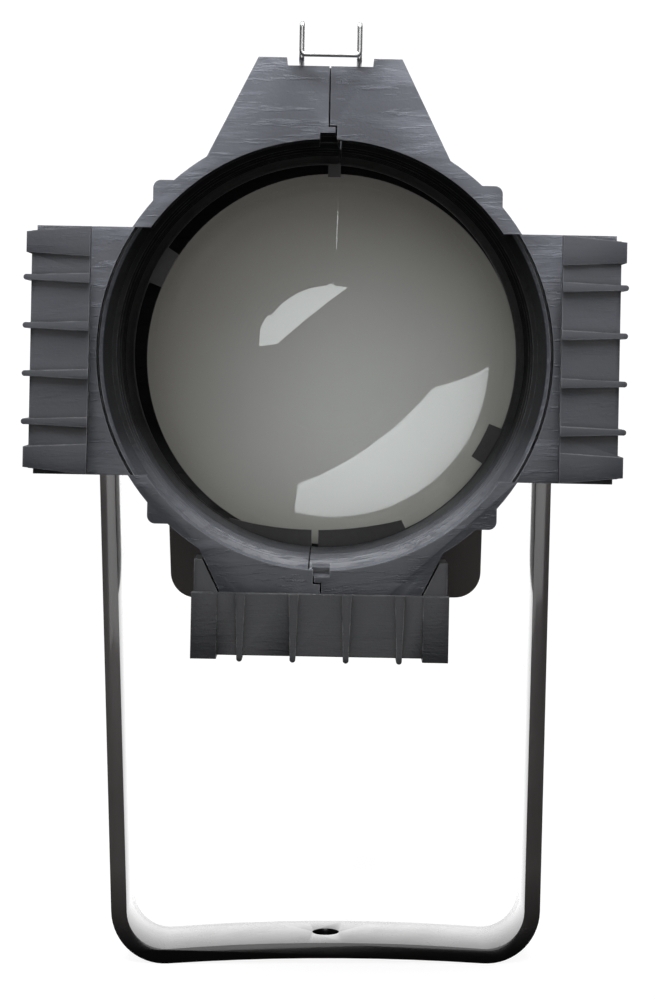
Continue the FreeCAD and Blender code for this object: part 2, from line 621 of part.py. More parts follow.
def make_focus_knob():
    """Knurled focus lock knob and its stud, screwed through the barrel slot into the tube."""
    base = BARREL_OUT_R + 0.4
    stud = cyl_x(STUD_R, TUBE_BORE_R + 0.3, base + 11.0, FOCUS_KNOB_Y, 0)
    grip = cyl_x(11.0, base + 2.4, base + 18.0, FOCUS_KNOB_Y, 0)
    skirt = cyl_x(5.5, base, base + 3.0, FOCUS_KNOB_Y, 0)
    for flute in range(12):
        angle = math.radians(30 * flute)
        grip = grip.cut(cyl_x(1.5, base, base + 19.0, FOCUS_KNOB_Y + 11.5 * math.cos(angle),
                              11.5 * math.sin(angle)))
    knob = join([grip, skirt]).cut(cyl_x(STUD_R, base - 1, base + 11.0, FOCUS_KNOB_Y, 0))
    return knob, stud


# ---------------------------------------------------------------- reflector housing

def make_front_ring():
    """Bearing ring that holds the barrel spigot and carries the rotation lock."""
    profile = [(SPIGOT_R + 0.4, RING_FRONT_Y), (78.8, RING_FRONT_Y), (78.8, HOUSING_FRONT_Y - 0.05),
               (64.0, HOUSING_FRONT_Y - 0.05), (64.0, -22.5), (SPIGOT_LIP_R + 0.4, -22.5),
               (SPIGOT_LIP_R + 0.4, -30.4),
               (SPIGOT_R + 0.4, -30.4)]
    ring = turned_y(profile).cut(cyl_z(STUD_R + 0.08, 60, 90, 0, -26.0))
    for degrees in (45, 135, 225, 315):
        hole = cyl_y(2.05, -23, HOUSING_FRONT_Y, 0, HOUSING_SCREW_R)
        ring = ring.cut(spin(hole, degrees))
    return ring


def make_rotation_knob():
    """Rotation lock knob and stud on top of the bearing ring."""
    stud = cyl_z(STUD_R, SPIGOT_LIP_R + 0.6, 90.0, 0, -26.0)
    grip = cyl_z(10.0, 81.0, 97.0, 0, -26.0)
    skirt = cyl_z(6.5, 79.2, 81.5, 0, -26.0)
    for flute in range(10):
        angle = math.radians(36 * flute)
        grip = grip.cut(cyl_z(1.5, 80, 98, 10.5 * math.cos(angle), -26.0 + 10.5 * math.sin(angle)))
    return join([grip, skirt]).cut(cyl_z(STUD_R, 70, 90.0, 0, -26.0)), stud


def make_pivot_bosses():
    """Turned bosses on both sides of the housing, each with a wide head for its washer."""
    bosses = []
    for side in (-1, 1):
        root_x = min(side * 68.0, side * BOSS_END)
        head_x = min(side * BOSS_HEAD_X, side * BOSS_END)
        root = cyl_x(BOSS_ROOT_R, root_x, root_x + BOSS_END - 68.0, 0, 0)
        head = cyl_x(BOSS_R, head_x, head_x + BOSS_END - BOSS_HEAD_X, 0, 0)
        boss = join([root, head]).cut(cyl_y(HOUSING_OUT_R + 0.05, -40, 40))
        boss = boss.cut(cyl_x(PIVOT_R + PIVOT_CLEAR, -100, 100, 0, 0))
        bosses.append(max(boss.Solids, key=lambda solid: solid.Volume))
    return bosses


def make_housing():
    """Finned reflector housing, bored on both sides for the pivots."""
    wall = ring_y(HOUSING_OUT_R, HOUSING_IN_R, HOUSING_FRONT_Y, HOUSING_BACK_Y)
    face = ring_y(HOUSING_OUT_R + 2.0, 64.0, HOUSING_FRONT_Y, HOUSING_FRONT_Y + 4.0)
    back = ring_y(HOUSING_OUT_R, 60.0, HOUSING_BACK_Y - 4.0, HOUSING_BACK_Y)
    lug = block(-7.0, 7.0, HOUSING_BACK_Y - 10.0, HOUSING_BACK_Y, CAP_SCREW_Z - 7.0, 62.0)
    lug = lug.cut(cyl_y(3.08, 180, 200, 0, CAP_SCREW_Z))
    pieces = [wall, face, back, lug]
    for fin in range(9):
        y0 = 32.0 + 17.0 * fin
        pieces.append(ring_y(FIN_R, HOUSING_IN_R, y0, y0 + 3.0))
    housing = join(pieces)
    housing = housing.cut(cyl_x(PIVOT_R + PIVOT_CLEAR, -100, 100, 0, 0))
    for degrees in (45, 135, 225, 315):
        hole = cyl_y(2.1, HOUSING_FRONT_Y - 1, HOUSING_FRONT_Y + 6, 0, HOUSING_SCREW_R)
        housing = housing.cut(spin(hole, degrees))
    for degrees in (30, 150, 270):
        vent = block(-9.0, 9.0, 168.0, 174.0, 60, 90)
        housing = housing.cut(spin(vent, degrees))
    return housing


def make_rear_cap():
    """Domed, louvred cap that closes the housing and carries the lamp."""
    outer = [(0, HOUSING_BACK_Y + 0.05), (HOUSING_OUT_R, HOUSING_BACK_Y + 0.05),
             (HOUSING_OUT_R, HOUSING_BACK_Y + 20), (68.0, 240.0), (52.0, 255.0), (22.0, CAP_BACK_Y),
             (0, CAP_BACK_Y)]
    inner = [(0, HOUSING_BACK_Y - 1), (HOUSING_OUT_R - 4, HOUSING_BACK_Y - 1),
             (HOUSING_OUT_R - 4, HOUSING_BACK_Y + 19), (64.5, 237.5), (49.5, 251.0),
             (21.0, CAP_BACK_Y - 4.5), (0, CAP_BACK_Y - 4.5)]
    cap = turned_y(outer).cut(turned_y(inner))
    for fin in range(3):
        y0 = 204.0 + 9.0 * fin
        cap = cap.fuse(ring_y(FIN_R, HOUSING_OUT_R - 3, y0, y0 + 2.5).cut(
            cyl_y(HOUSING_OUT_R - 3.5, 190, 270)))
    for degrees in range(0, 360, 45):
        louvre = block(-10.0, 10.0, 226.0, 231.0, 50, 90)
        cap = cap.cut(spin(louvre, degrees + 22.5))
    cap = cap.cut(cyl_y(CARRIER_R + 0.08, 250, 270))
    return cap.cut(cyl_y(3.08, 190, 280, 0, CAP_SCREW_Z)).removeSplitter()


def make_reflector():
    """Ellipsoidal reflector: lamp near one focus, gate near the other."""
    front = SKIRT_FRONT_Y + 8.0
    inner = []
    outer = []
    steps = 24
    limit = math.sqrt(1 - (LAMP_HOLE_R / REFLECTOR_B) ** 2)
    for step in range(steps + 1):
        start = (front - REFLECTOR_MID_Y) / REFLECTOR_A
        t = start + (limit - start) * math.sin(math.pi / 2 * step / steps)
        radius = math.sqrt(1 - t * t)
        inner.append(vec(REFLECTOR_B * radius, REFLECTOR_MID_Y + REFLECTOR_A * t, 0))
        outer.append(vec((REFLECTOR_B + REFLECTOR_THICK) * radius,
                         REFLECTOR_MID_Y + (REFLECTOR_A + REFLECTOR_THICK) * t, 0))
    curves = []
    for points in (inner, outer):
        curve = Part.BSplineCurve()
        curve.interpolate(points)
        curves.append(curve.toShape())
    ends = [Part.makeLine(inner[0], outer[0]), Part.makeLine(inner[-1], outer[-1])]
    face = Part.Face(Part.Wire([curves[0], ends[1], curves[1], ends[0]]))
    return face.revolve(vec(0, 0, 0), FreeCAD.Vector(0, 1, 0), 360)


def make_reflector_clips():
    """Spring clips that hold the reflector rim in the housing."""
    clips = []
    for degrees in (60, 180, 300):
        foot = block(-5.0, 5.0, 37.0, 50.0, HOUSING_IN_R - 0.75, HOUSING_IN_R - 0.05)
        lip = block(-5.0, 5.0, 36.4, 37.2, 67.0, HOUSING_IN_R - 0.05)
        clips.append(spin(join([foot, lip]).common(cyl_y(HOUSING_IN_R - 0.05, 30, 60)), degrees))
    return clips


def skirt_outline(inset):
    """Skirt outline with its two round lower corners."""
    half_top = SKIRT_HALF_TOP - inset
    half_low = SKIRT_HALF_LOW - inset
    low = SKIRT_LOW_Z + inset
    radius = SKIRT_CORNER_R - inset
    outline = prism_y([(-half_top, -10), (-half_low, low), (half_low, low), (half_top, -10)],
                      SKIRT_FRONT_Y + inset, SKIRT_BACK_Y - inset)
    low_z = AXIS_Z + low + 1.0
    return rounded(outline, radius,
                   lambda edge: along(edge, 1) and edge.CenterOfMass.z < low_z)


def make_skirt():
    """Dark lower cover with two round lobes: wiring space under the housing."""
    shell = skirt_outline(0.0).cut(skirt_outline(SKIRT_WALL))
    shell = shell.cut(cyl_y(FIN_R + 0.3, 0, 220))
    shell = shell.cut(cyl_y(8.1, SKIRT_BACK_Y - 5, SKIRT_BACK_Y + 5, 0, -90.0))
    largest = max(shell.Solids, key=lambda solid: solid.Volume)
    return largest


def make_skirt_brackets():
    """Two bars that tie the skirt to the housing fins."""
    bars = []
    for y0 in (41.0, 142.0):
        bar = block(-8.0, 8.0, y0, y0 + 2.4, SKIRT_LOW_Z + SKIRT_WALL + 0.05, -60.0)
        bars.append(bar.cut(cyl_y(HOUSING_OUT_R + 0.1, 0, 220)))
    return bars


def make_housing_screws():
    """Screws between the bearing ring and the housing."""
    screws = []
    for degrees in (45, 135, 225, 315):
        shank = cyl_y(2.0, HOUSING_FRONT_Y - 5.0, HOUSING_FRONT_Y + 5.0, 0, HOUSING_SCREW_R)
        head = cyl_y(3.0, HOUSING_FRONT_Y + 4.05, HOUSING_FRONT_Y + 6.5, 0, HOUSING_SCREW_R)
        screws.append(spin(join([shank, head]), degrees))
    return screws


def make_cap_screw():
    """Captive screw that fastens the cap; its head has a coin slot."""
    shank = cyl_y(3.0, HOUSING_BACK_Y - 9.0, 262.0, 0, CAP_SCREW_Z)
    head = cyl_y(7.0, 259.5, 266.0, 0, CAP_SCREW_Z)
    slot = block(-8.0, 8.0, 264.0, 267.0, CAP_SCREW_Z - 0.8, CAP_SCREW_Z + 0.8)
    return join([shank, head]).cut(slot)


def make_lamp_carrier():
    """Rod and dish that carry the lamp socket along the axis."""
    rod = cyl_y(CARRIER_R, 176.0, 272.0)
    dish = cyl_y(24.0, 172.0, 177.0)
    return join([rod, dish]).cut(cyl_y(4.08, 254.0, 280.0))


def make_peak_knob():
    """Peak and flat adjusting knob on the back of the cap, with its spindle."""
    spindle = cyl_y(4.0, 259.0, 285.0)
    grip = cyl_y(13.0, 275.5, 289.0)
    for flute in range(12):
        angle = math.radians(30 * flute)
        grip = grip.cut(cyl_y(1.7, 273, 289, 13.6 * math.cos(angle), 13.6 * math.sin(angle)))
    return join([spindle, grip])


def make_socket():
    """Ceramic lamp socket."""
    body = block(-13.0, 13.0, 152.0, 171.95, -10.0, 10.0)
    body = rounded(body, 3.0, lambda edge: along(edge, 1))
    for x in (-6.0, 6.0):
        body = body.cut(cyl_y(1.6, 150, 166.0, x, 0))
    return body


def make_lamp_base():
    """Finned metal base of the lamp, with its two contact pins."""
    sink = block(-10.0, 10.0, 136.0, 151.9, -8.0, 8.0)
    for z in (-5.5, 0.0, 5.5):
        for x0 in (-11.0, 6.0):
            sink = sink.cut(block(x0, x0 + 5.0, 137.5, 150.5, z - 1.0, z + 1.0))
    pins = [cyl_y(1.5, 150.5, 165.0, x, 0) for x in (-6.0, 6.0)]
    return join([sink] + pins)


def make_lamp_envelope():
    """Thin quartz envelope with a domed end."""
    outer = cyl_y(9.0, 102.0, 135.95).fuse(Part.makeSphere(9.0, vec(0, 102.0, 0)))
    inner = cyl_y(7.6, 102.0, 131.0).fuse(Part.makeSphere(7.6, vec(0, 102.0, 0)))
    return outer.cut(inner).removeSplitter()


def make_filaments():
    """Four coiled filament legs, drawn as thin rods."""
    rods = []
    for x in (-2.7, 2.7):
        for z in (-2.7, 2.7):
            rods.append(cyl_y(0.7, 105.0, 126.0, x, z))
    return rods


def make_cable_gland():
    """Gland in the back of the skirt where the supply cable enters."""
    body = cyl_y(8.0, SKIRT_BACK_Y - 6.0, SKIRT_BACK_Y + 6.0, 0, -90.0)
    flange = cyl_y(10.5, SKIRT_BACK_Y + 0.05, SKIRT_BACK_Y + 4.0, 0, -90.0)
    points = []
    for corner in range(6):
        angle = math.radians(60 * corner)
        points.append((9.5 * math.cos(angle), -90.0 + 9.5 * math.sin(angle)))
    nut = prism_y(points, SKIRT_BACK_Y + 4.0, SKIRT_BACK_Y + 12.0)
    gland = join([body, flange, nut])
    return gland.cut(cyl_y(4.5, SKIRT_BACK_Y - 10, SKIRT_BACK_Y + 20, 0, -90.0))


def make_safety_eye():
    """Wire loop on top of the housing for a safety cable."""
    top = FIN_R + 11.0
    low = HOUSING_OUT_R + 1.6
    y = 109.0
    path = [vec(9.0, y, low), vec(9.0, y, top), vec(-9.0, y, top), vec(-9.0, y, low)]
    loop = bent_wire(path, 2.0, 8.5)
    feet = block(-14.0, 14.0, y - 4.5, y + 4.5, HOUSING_OUT_R - 3.0, HOUSING_OUT_R + 3.0)
    return join([loop, feet]).cut(cyl_y(HOUSING_OUT_R + 0.05, y - 20, y + 20))


# ---------------------------------------------------------------- the whole light

def main():
    """Writes every piece."""
    os.makedirs("parts", exist_ok=True)

    save("yoke", make_yoke())
    save_group("friction_washers", make_friction_washers())
    save("pivot_bolt", make_pivot_bolt())
    tilt_grip, tilt_stud = make_tilt_knob()
    save("tilt_knob", tilt_grip)
    save("tilt_knob_stud", tilt_stud)

    right = make_tube_half()
    save("lens_tube_right", rolled(drilled(right)))
    save("lens_tube_left", rolled(drilled(spin(right, 180))))
    save_group("tube_screws", [rolled(screw) for screw in make_tube_screws()])
    save("front_lens", make_lens())
    save("lens_retainer", rolled(make_lens_retainer()))
    save("bottom_channel", rolled(make_bottom_channel()))
    save_group("channel_screws", [rolled(screw) for screw in make_channel_screws()])
    save("frame_clip", rolled(make_frame_clip()))

    save("barrel", rolled(make_barrel()))
    save("gate_plate", make_gate_plate())
    save("shutter_guide", make_shutter_guide())
    save("pattern_guide", make_pattern_guide())
    for index, place in enumerate(("top", "right", "bottom", "left")):
        save("shutter_" + place, rolled(make_shutter(index)))
        save("shutter_grip_" + place, rolled(make_shutter_grip(index)))
    save("pattern_holder", rolled(make_pattern_holder()))
    focus_grip, focus_stud = make_focus_knob()
    save("focus_knob", rolled(focus_grip))
    save("focus_knob_stud", rolled(focus_stud))

    save("bearing_ring", make_front_ring())
    rotation_grip, rotation_stud = make_rotation_knob()
    save("rotation_knob", rotation_grip)
    save("rotation_knob_stud", rotation_stud)
    save("reflector_housing", make_housing())
    save_group("pivot_bosses", make_pivot_bosses())
    save_group("housing_screws", make_housing_screws())
    save("reflector", make_reflector())
    save_group("reflector_clips", make_reflector_clips())
    save("lower_skirt", make_skirt())
    save_group("skirt_brackets", make_skirt_brackets())
    save("cable_gland", make_cable_gland())
    save("safety_eye", make_safety_eye())
    save("rear_cap", make_rear_cap())
    save("cap_screw", make_cap_screw())
    save("lamp_carrier", make_lamp_carrier())
    save("peak_knob", make_peak_knob())
    save("lamp_socket", make_socket())
    save("lamp_base", make_lamp_base())
    save("lamp_envelope", make_lamp_envelope())
    save_group("lamp_filaments", make_filaments())


main()
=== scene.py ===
import json
import math

import bmesh
import bpy
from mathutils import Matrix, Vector


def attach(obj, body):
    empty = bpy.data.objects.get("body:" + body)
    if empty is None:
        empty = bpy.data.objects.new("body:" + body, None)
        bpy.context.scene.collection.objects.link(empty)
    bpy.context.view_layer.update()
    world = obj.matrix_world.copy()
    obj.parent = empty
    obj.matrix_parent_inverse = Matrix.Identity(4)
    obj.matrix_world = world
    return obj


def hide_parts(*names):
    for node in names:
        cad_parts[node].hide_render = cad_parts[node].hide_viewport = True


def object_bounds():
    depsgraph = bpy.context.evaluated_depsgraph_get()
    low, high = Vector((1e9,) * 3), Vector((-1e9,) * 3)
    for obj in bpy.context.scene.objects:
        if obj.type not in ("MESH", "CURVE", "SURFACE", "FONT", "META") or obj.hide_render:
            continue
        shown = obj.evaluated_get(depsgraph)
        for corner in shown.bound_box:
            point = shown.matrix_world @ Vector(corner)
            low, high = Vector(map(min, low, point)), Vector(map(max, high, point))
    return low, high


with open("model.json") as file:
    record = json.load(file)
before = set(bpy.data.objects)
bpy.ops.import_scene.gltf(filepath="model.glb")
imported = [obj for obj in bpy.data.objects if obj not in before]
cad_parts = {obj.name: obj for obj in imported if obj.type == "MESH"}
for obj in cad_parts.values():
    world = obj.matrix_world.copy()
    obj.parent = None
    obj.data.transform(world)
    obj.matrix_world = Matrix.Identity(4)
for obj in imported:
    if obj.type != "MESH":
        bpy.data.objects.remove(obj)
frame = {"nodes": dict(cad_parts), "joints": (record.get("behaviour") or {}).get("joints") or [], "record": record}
cad_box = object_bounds()

# ---------------------------------------------------------------- places and sizes, in metres

NODES = frame["nodes"]
RECORD = frame["record"]
SLOT_OF = {row["node"]: row["material_slot"] for row in RECORD["subparts"]}
BODY_OF = {node: body for body, members in RECORD["behaviour"]["bodies"].items()
           for node in members}
TILT = next(joint for joint in frame["joints"] if joint["name"] == "tilt")
AXIS = Vector(TILT["pos_m"])            # where the tilt axis crosses the optical axis
FLOOR_Z = cad_box[0][2]

FLANGE_Y = -0.253                       # front face of the lens tube flange
BORE_R = 0.069                          # just outside the bore of the tube
WING_X = 0.0705                         # where the ribbed side channels begin

LENS_RIM_Y = FLANGE_Y + 0.100           # front of the lens rim
LENS_THICK = 0.004                      # at the rim
LENS_RADIUS = 0.0654
LENS_FRONT_CURVE = 0.115
LENS_BACK_CURVE = 1.0
LENS_IOR = 1.52
LENS_CENTRE = Vector((0.0025, LENS_RIM_Y, AXIS.z - 0.00135))
LENS_EASE = 0.0003                      # rounding of the rim's two edges
FILM_DROP = 0.006                       # the film's painted light is palest this far below the lens centre

SOFT_EDGES = {                          # how far the hard edges of each casting are broken
    "lens_tube_left": 0.0006,
    "lens_tube_right": 0.0006,
    "bottom_channel": 0.0005,
    "yoke": 0.0007,
}
SAME_PLACE = 1e-6                       # vertices closer than this are one
COPLANAR = math.radians(0.6)
HARD_EDGE = math.radians(32.0)

FLOOR_HALF = 6.0
CAMERA_PLACE = (0.0008, -0.977, AXIS.z - 0.0016)
CAMERA_SENSOR_MM = 36.0
CAMERA_LENS_MM = 84.1
CAMERA_SHIFT = -0.14                    # down, as a fraction of the sensor

# Softbox that the lens mirrors: upper left, with its lower right edge aslant.
WINDOW_Y = -1.2
WINDOW_XZ = [(-0.395, 0.358), (0.165, 0.825), (0.400, 1.900), (-1.600, 1.900), (-1.600, 0.260)]
WINDOW_STRENGTH = 7.2


# ---------------------------------------------------------------- node helpers

def rgba(red, green=None, blue=None):
    """Colour from linear values; one value alone gives a grey."""
    return (red, red if green is None else green, red if blue is None else blue, 1.0)


def scaled(color, factor):
    """The same colour, lighter or darker."""
    return tuple(min(1.0, channel * factor) for channel in color[:3]) + (1.0,)


class NodeKit:
    """Adds nodes to the tree of one material or world."""

    def __init__(self, owner, output_kind):
        self.owner = owner
        owner.use_nodes = True
        self.tree = owner.node_tree
        self.tree.nodes.clear()
        self.output = self.add(output_kind)

    def add(self, kind, inputs=None, **settings):
        """New node with its settings and the starting values of its inputs."""
        node = self.tree.nodes.new(kind)
        for key, value in settings.items():
            setattr(node, key, value)
        for key, value in (inputs or {}).items():
            node.inputs[key].default_value = value
        return node

    def link(self, source, target):
        self.tree.links.new(source, target)

    def feed(self, socket, value):
        """Sets a socket to a constant, or links an output to it."""
        if isinstance(value, (int, float, tuple)):
            socket.default_value = value
        else:
            self.link(value, socket)

    def coords(self, stretch=(1.0, 1.0, 1.0)):
        """Object coordinates, stretched."""
        source = self.add("ShaderNodeTexCoord")
        mapping = self.add("ShaderNodeMapping", {"Scale": stretch})
        self.link(source.outputs["Object"], mapping.inputs["Vector"])
        return mapping.outputs["Vector"]

    def part_of(self, vector, axis):
        """One component of a vector, by its letter."""
        split = self.add("ShaderNodeSeparateXYZ")
        self.link(vector, split.inputs[0])
        return split.outputs[axis]

    def along(self, axis):
        """One object coordinate, by its letter."""
        return self.part_of(self.coords(), axis)

    def noise(self, scale, detail=4.0, rough=0.55, stretch=(1.0, 1.0, 1.0), distortion=0.0):
        node = self.add("ShaderNodeTexNoise", {"Scale": scale, "Detail": detail,
                                               "Roughness": rough, "Distortion": distortion})
        self.link(self.coords(stretch), node.inputs["Vector"])
        return node.outputs["Fac"]

    def voronoi(self, scale):
        node = self.add("ShaderNodeTexVoronoi", {"Scale": scale})
        self.link(self.coords(), node.inputs["Vector"])
        return node.outputs["Distance"]

    def spread(self, value, low, high, out_low=0.0, out_high=1.0):
        """Maps a value from one range to another, clamped."""
        node = self.add("ShaderNodeMapRange", {"From Min": low, "From Max": high,
                                               "To Min": out_low, "To Max": out_high})
        self.link(value, node.inputs["Value"])
        return node.outputs["Result"]

    def scale_to(self, mask, at_none, at_full):
        """Turns a mask of 0 to 1 into values between two amounts."""
        return self.spread(mask, 0.0, 1.0, at_none, at_full)

    def math(self, operation, *values):
        """Folds one or more values with a math operation."""
        result, rest = values[0], values[1:]
        for value in rest or (None,):
            node = self.add("ShaderNodeMath", operation=operation)
            self.feed(node.inputs[0], result)
            if value is not None:
                self.feed(node.inputs[1], value)
            result = node.outputs["Value"]
        return result

    def mix(self, factor, first, second):
        """Mixes two colours."""
        node = self.add("ShaderNodeMix", data_type="RGBA")
        self.feed(node.inputs["Factor"], factor)
        for name, value in (("A", first), ("B", second)):
            socket = next(item for item in node.inputs
                          if item.name == name and item.type == "RGBA")
            self.feed(socket, value)
        return next(item for item in node.outputs if item.type == "RGBA")

    def mottled(self, cloud, color, dark, light, low=0.35, high=0.7):
        """The colour in two shades, spread over a cloud pattern."""
        return self.mix(self.spread(cloud, low, high), scaled(color, dark), scaled(color, light))

    def radius_from(self, x, z):
        """Distance from a line along Y."""
        across = self.math("SUBTRACT", self.along("X"), x)
        up = self.math("SUBTRACT", self.along("Z"), z)
        square = self.math("ADD", self.math("MULTIPLY", across, across),
                           self.math("MULTIPLY", up, up))
        return self.math("SQRT", square)

    def dust(self):
        """Thin dust on level tops, patchy."""
        geometry = self.add("ShaderNodeNewGeometry")
        level = self.spread(self.part_of(geometry.outputs["Normal"], "Z"), 0.6, 0.98)
        return self.math("MULTIPLY", level, self.spread(self.noise(75.0), 0.4, 0.7, 0.02, 0.16))

    def edges(self, radius):
        """1 on sharp outer edges, 0 on flat ground."""
        bevel = self.add("ShaderNodeBevel", {"Radius": radius}, samples=6)
        geometry = self.add("ShaderNodeNewGeometry")
        dot = self.add("ShaderNodeVectorMath", operation="DOT_PRODUCT")
        self.link(bevel.outputs["Normal"], dot.inputs[0])
        self.link(geometry.outputs["Normal"], dot.inputs[1])
        return self.spread(dot.outputs["Value"], 0.97, 0.75)

    def crease_shade(self, reach):
        """1 in tight inner corners, 0 in the open; used to paint shade into corners."""
        node = self.add("ShaderNodeAmbientOcclusion", {"Distance": reach}, samples=6)
        return self.spread(node.outputs["AO"], 0.45, 0.95, 1.0, 0.0)

    def bump(self, height, distance):
        node = self.add("ShaderNodeBump", {"Distance": distance, "Strength": 1.0})
        self.link(height, node.inputs["Height"])
        return node.outputs["Normal"]

    def surface(self, color, rough, normal=None, **constants):
        """Principled surface wired to the output."""
        shader = self.add("ShaderNodeBsdfPrincipled")
        for name, value in (("Base Color", color), ("Roughness", rough), ("Normal", normal)):
            if value is not None:
                self.feed(shader.inputs[name], value)
        for name, value in constants.items():
            socket = name.replace("_", " ").title().replace("Ior", "IOR")
            shader.inputs[socket].default_value = value
        self.link(shader.outputs["BSDF"], self.output.inputs["Surface"])
        return shader


def material_kit(name):
    """Empty material to fill with nodes."""
    return NodeKit(bpy.data.materials.new(name), "ShaderNodeOutputMaterial")


# ---------------------------------------------------------------- materials

DUST = rgba(0.30, 0.29, 0.27)
BARE_METAL = rgba(0.22)
# Edge colour of the tube: worn bare casting and a painted highlight.
EDGE_WEAR_AND_HIGHLIGHT = rgba(0.20, 0.202, 0.212)
PAINT_BUMP = 0.00005                    # height of the orange peel


def painted(name, color, rough, streaks=0.0, grain=PAINT_BUMP, wear=0.35, painted_shade_below=None, varnish=0.0):
    """Satin powder coat: orange-peel grain, drag marks, dust, rubbed edges and painted shade in inner corners.

    The last argument is (low z, high z, factor) or None: below low the colour is multiplied by factor, as painted
    shade.
    """
    kit = material_kit(name)
    cloud = kit.noise(22.0, detail=5.0)
    drag = kit.noise(95.0, detail=7.0, rough=0.7, stretch=(0.10, 1.0, 1.0), distortion=0.2)
    speck = kit.noise(900.0, detail=2.0)
    marks = kit.spread(drag, 0.50, 0.72, 0.0, streaks)
    base = kit.mottled(cloud, color, 0.92, 1.08)
    base = kit.mix(marks, base, scaled(color, 1.6))
    # Painted shade: darker low down.
    if painted_shade_below is not None:
        low, high, dark = painted_shade_below
        height = kit.math("ADD", kit.along("Z"), kit.math("MULTIPLY", cloud, 0.006))
        base = kit.mix(kit.spread(height, low, high), scaled(color, dark), base)
    dust = kit.dust()
    base = kit.mix(dust, base, DUST)
    rub = kit.math("MULTIPLY", kit.edges(0.0007), kit.spread(kit.noise(160.0), 0.42, 0.62))
    base = kit.mix(kit.math("MULTIPLY", rub, wear), base, BARE_METAL)
    # Painted shade in inner corners.
    base = kit.mix(kit.math("MULTIPLY", kit.crease_shade(0.004), 0.8), base, rgba(0.002))
    gloss = kit.math("ADD", kit.spread(cloud, 0.3, 0.75, rough - 0.05, rough + 0.07),
                     kit.math("MULTIPLY", marks, 0.08), kit.math("MULTIPLY", dust, 0.8))
    relief = kit.math("ADD", speck, kit.math("MULTIPLY", marks, 2.5))
    kit.surface(base, gloss, kit.bump(relief, grain), specular_ior_level=0.5,
                coat_weight=varnish, coat_roughness=0.06)
    return kit.owner


def casting_marks(kit, behind_face):
    """Long drag marks and hairlines of the tube's faces, fainter on the lips in front."""
    drag = kit.noise(120.0, detail=7.0, rough=0.7, stretch=(0.20, 1.0, 1.0), distortion=0.3)
    hair = kit.noise(480.0, detail=6.0, rough=0.75, stretch=(0.12, 1.0, 1.0))
    amount = kit.scale_to(behind_face, 0.25, 1.0)
    return kit.math("ADD",
                    kit.math("MULTIPLY", kit.spread(drag, 0.48, 0.66, 0.0, 0.7), amount),
                    kit.math("MULTIPLY", kit.spread(hair, 0.54, 0.64, 0.0, 0.7), amount))


def casting_painted_shade(kit, level, behind_face):
    """Painted shade on the tube's coat: how light it is, darker low down, on the lips and amid the side channels.
    """
    height = kit.spread(level, -0.080, 0.026, 0.30, 0.97)
    lips = kit.scale_to(behind_face, 0.66, 1.0)
    beside = kit.spread(kit.math("ABSOLUTE", kit.along("X")), WING_X, WING_X + 0.003)
    middle = kit.spread(kit.math("ABSOLUTE", level), 0.016, 0.036, 1.0, 0.0)
    wing = kit.scale_to(kit.math("MULTIPLY", beside, middle, behind_face), 1.0, 0.36)
    return kit.math("MULTIPLY", height, lips, wing)


def cast_coat(name, color):
    """Black coat of the lens tube with drag marks on the front faces; painted shade darkens it low down, on the
    lips, amid the side channels, in inner corners and in the bore, and edges are lightened as wear and painted
    highlight.
    """
    kit = material_kit(name)
    cloud = kit.noise(22.0, detail=5.0)
    speck = kit.noise(900.0, detail=2.0)
    behind_face = kit.spread(kit.along("Y"), FLANGE_Y - 0.0012, FLANGE_Y - 0.0002)
    marks = casting_marks(kit, behind_face)
    level = kit.math("ADD", kit.math("SUBTRACT", kit.along("Z"), AXIS.z),
                     kit.math("MULTIPLY", cloud, 0.010))
    base = kit.mottled(cloud, color, 0.90, 1.08)
    base = kit.mix(marks, base, scaled(color, 1.75))
    # Painted shade: darker low down, on the lips and amid the side channels.
    base = kit.mix(casting_painted_shade(kit, level, behind_face), rgba(0.0), base)

    # Painted shade in the bore: near black at the top and sides, the coat's colour only low down where light
    # falls.
    inside = kit.spread(kit.radius_from(0.0, AXIS.z), BORE_R, BORE_R + 0.0003, 1.0, 0.0)
    in_bore = kit.math("MULTIPLY", inside,
                       kit.spread(kit.along("Y"), FLANGE_Y + 0.0004, FLANGE_Y + 0.0012))
    bore_painted_light = kit.spread(level, -0.046, -0.018, 0.85, 0.03)
    base = kit.mix(in_bore, base, kit.mix(bore_painted_light, rgba(0.0015), scaled(color, 1.05)))

    # Painted shade in inner corners.
    base = kit.mix(kit.math("MULTIPLY", kit.crease_shade(0.005), 0.95), base, rgba(0.001))
    base = kit.mix(kit.math("MULTIPLY", kit.dust(), kit.scale_to(in_bore, 1.0, 0.0)), base, DUST)
    # Lighter edges: wear, and a painted highlight along every hard edge.
    rub = kit.math("MULTIPLY", kit.edges(0.0008),
                   kit.spread(kit.noise(160.0), 0.35, 0.6, 0.15, 0.7))
    base = kit.mix(rub, base, EDGE_WEAR_AND_HIGHLIGHT)
    bore_gloss = kit.spread(bore_painted_light, 0.0, 0.85, 0.45, 0.05)
    gloss = kit.math("ADD", kit.spread(cloud, 0.3, 0.75, 0.36, 0.48),
                     kit.math("MULTIPLY", marks, 0.08), kit.math("MULTIPLY", in_bore, bore_gloss))
    relief = kit.math("ADD", speck, kit.math("MULTIPLY", marks, 2.5))
    kit.surface(base, gloss, kit.bump(relief, PAINT_BUMP), specular_ior_level=0.42)
    return kit.owner


